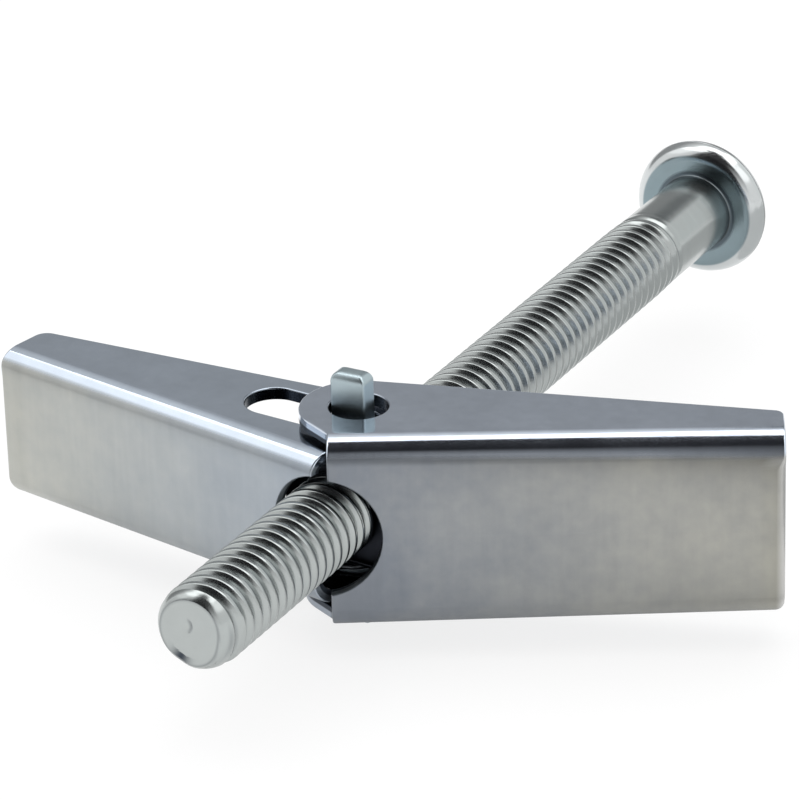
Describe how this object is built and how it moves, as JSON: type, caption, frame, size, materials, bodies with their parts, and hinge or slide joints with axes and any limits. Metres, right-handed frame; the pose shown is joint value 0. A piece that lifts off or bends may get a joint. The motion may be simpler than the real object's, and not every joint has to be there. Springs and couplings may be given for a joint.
{
  "type": "spring toggle bolt",
  "caption": "Pan head machine screw with a trunnion nut whose two spring-opened folded sheet wings clamp behind a hollow wall.",
  "frame": {"origin": "centre of the trunnion nut, where the pivot axis crosses the screw's axis", "axes": "+Y along the screw towards its head, +Z along the pivot axis, +X towards the outer wing"},
  "size_m": [0.0374, 0.0525, 0.0126],
  "materials": {
    "screw_zinc": "bright zinc plated, rolled thread",
    "nut_zinc": "bright blue-white zinc plated",
    "wing_zinc": "bright blue-white zinc plated sheet, satin webs",
    "spring_wire": "drawn spring wire"
  },
  "bodies": {
    "screw": {"screw": "screw_zinc"},
    "nut": {"trunnion_nut": "nut_zinc", "spring": "spring_wire"},
    "outer_wing": {"outer_wing": "wing_zinc"},
    "inner_wing": {"inner_wing": "wing_zinc"}
  },
  "joints": [
    {"name": "nut_travel", "type": "slide", "parent": "screw", "child": "nut", "axis": [0, 1, 0], "range_m": [-0.012, 0.016]},
    {"name": "outer_hinge", "type": "hinge", "parent": "nut", "child": "outer_wing", "pos_m": [0.0003, 0, 0], "axis": [0, 0, 1], "range_deg": [0, 60], "stiffness_Nm_per_rad": 0.004, "springref_deg": -28.65, "deforming": ["spring"]},
    {"name": "inner_hinge", "type": "hinge", "parent": "nut", "child": "inner_wing", "pos_m": [0, 0, 0], "axis": [0, 0, -1], "range_deg": [0, 76], "stiffness_Nm_per_rad": 0.004, "springref_deg": -28.65, "deforming": ["spring"]}
  ]
}
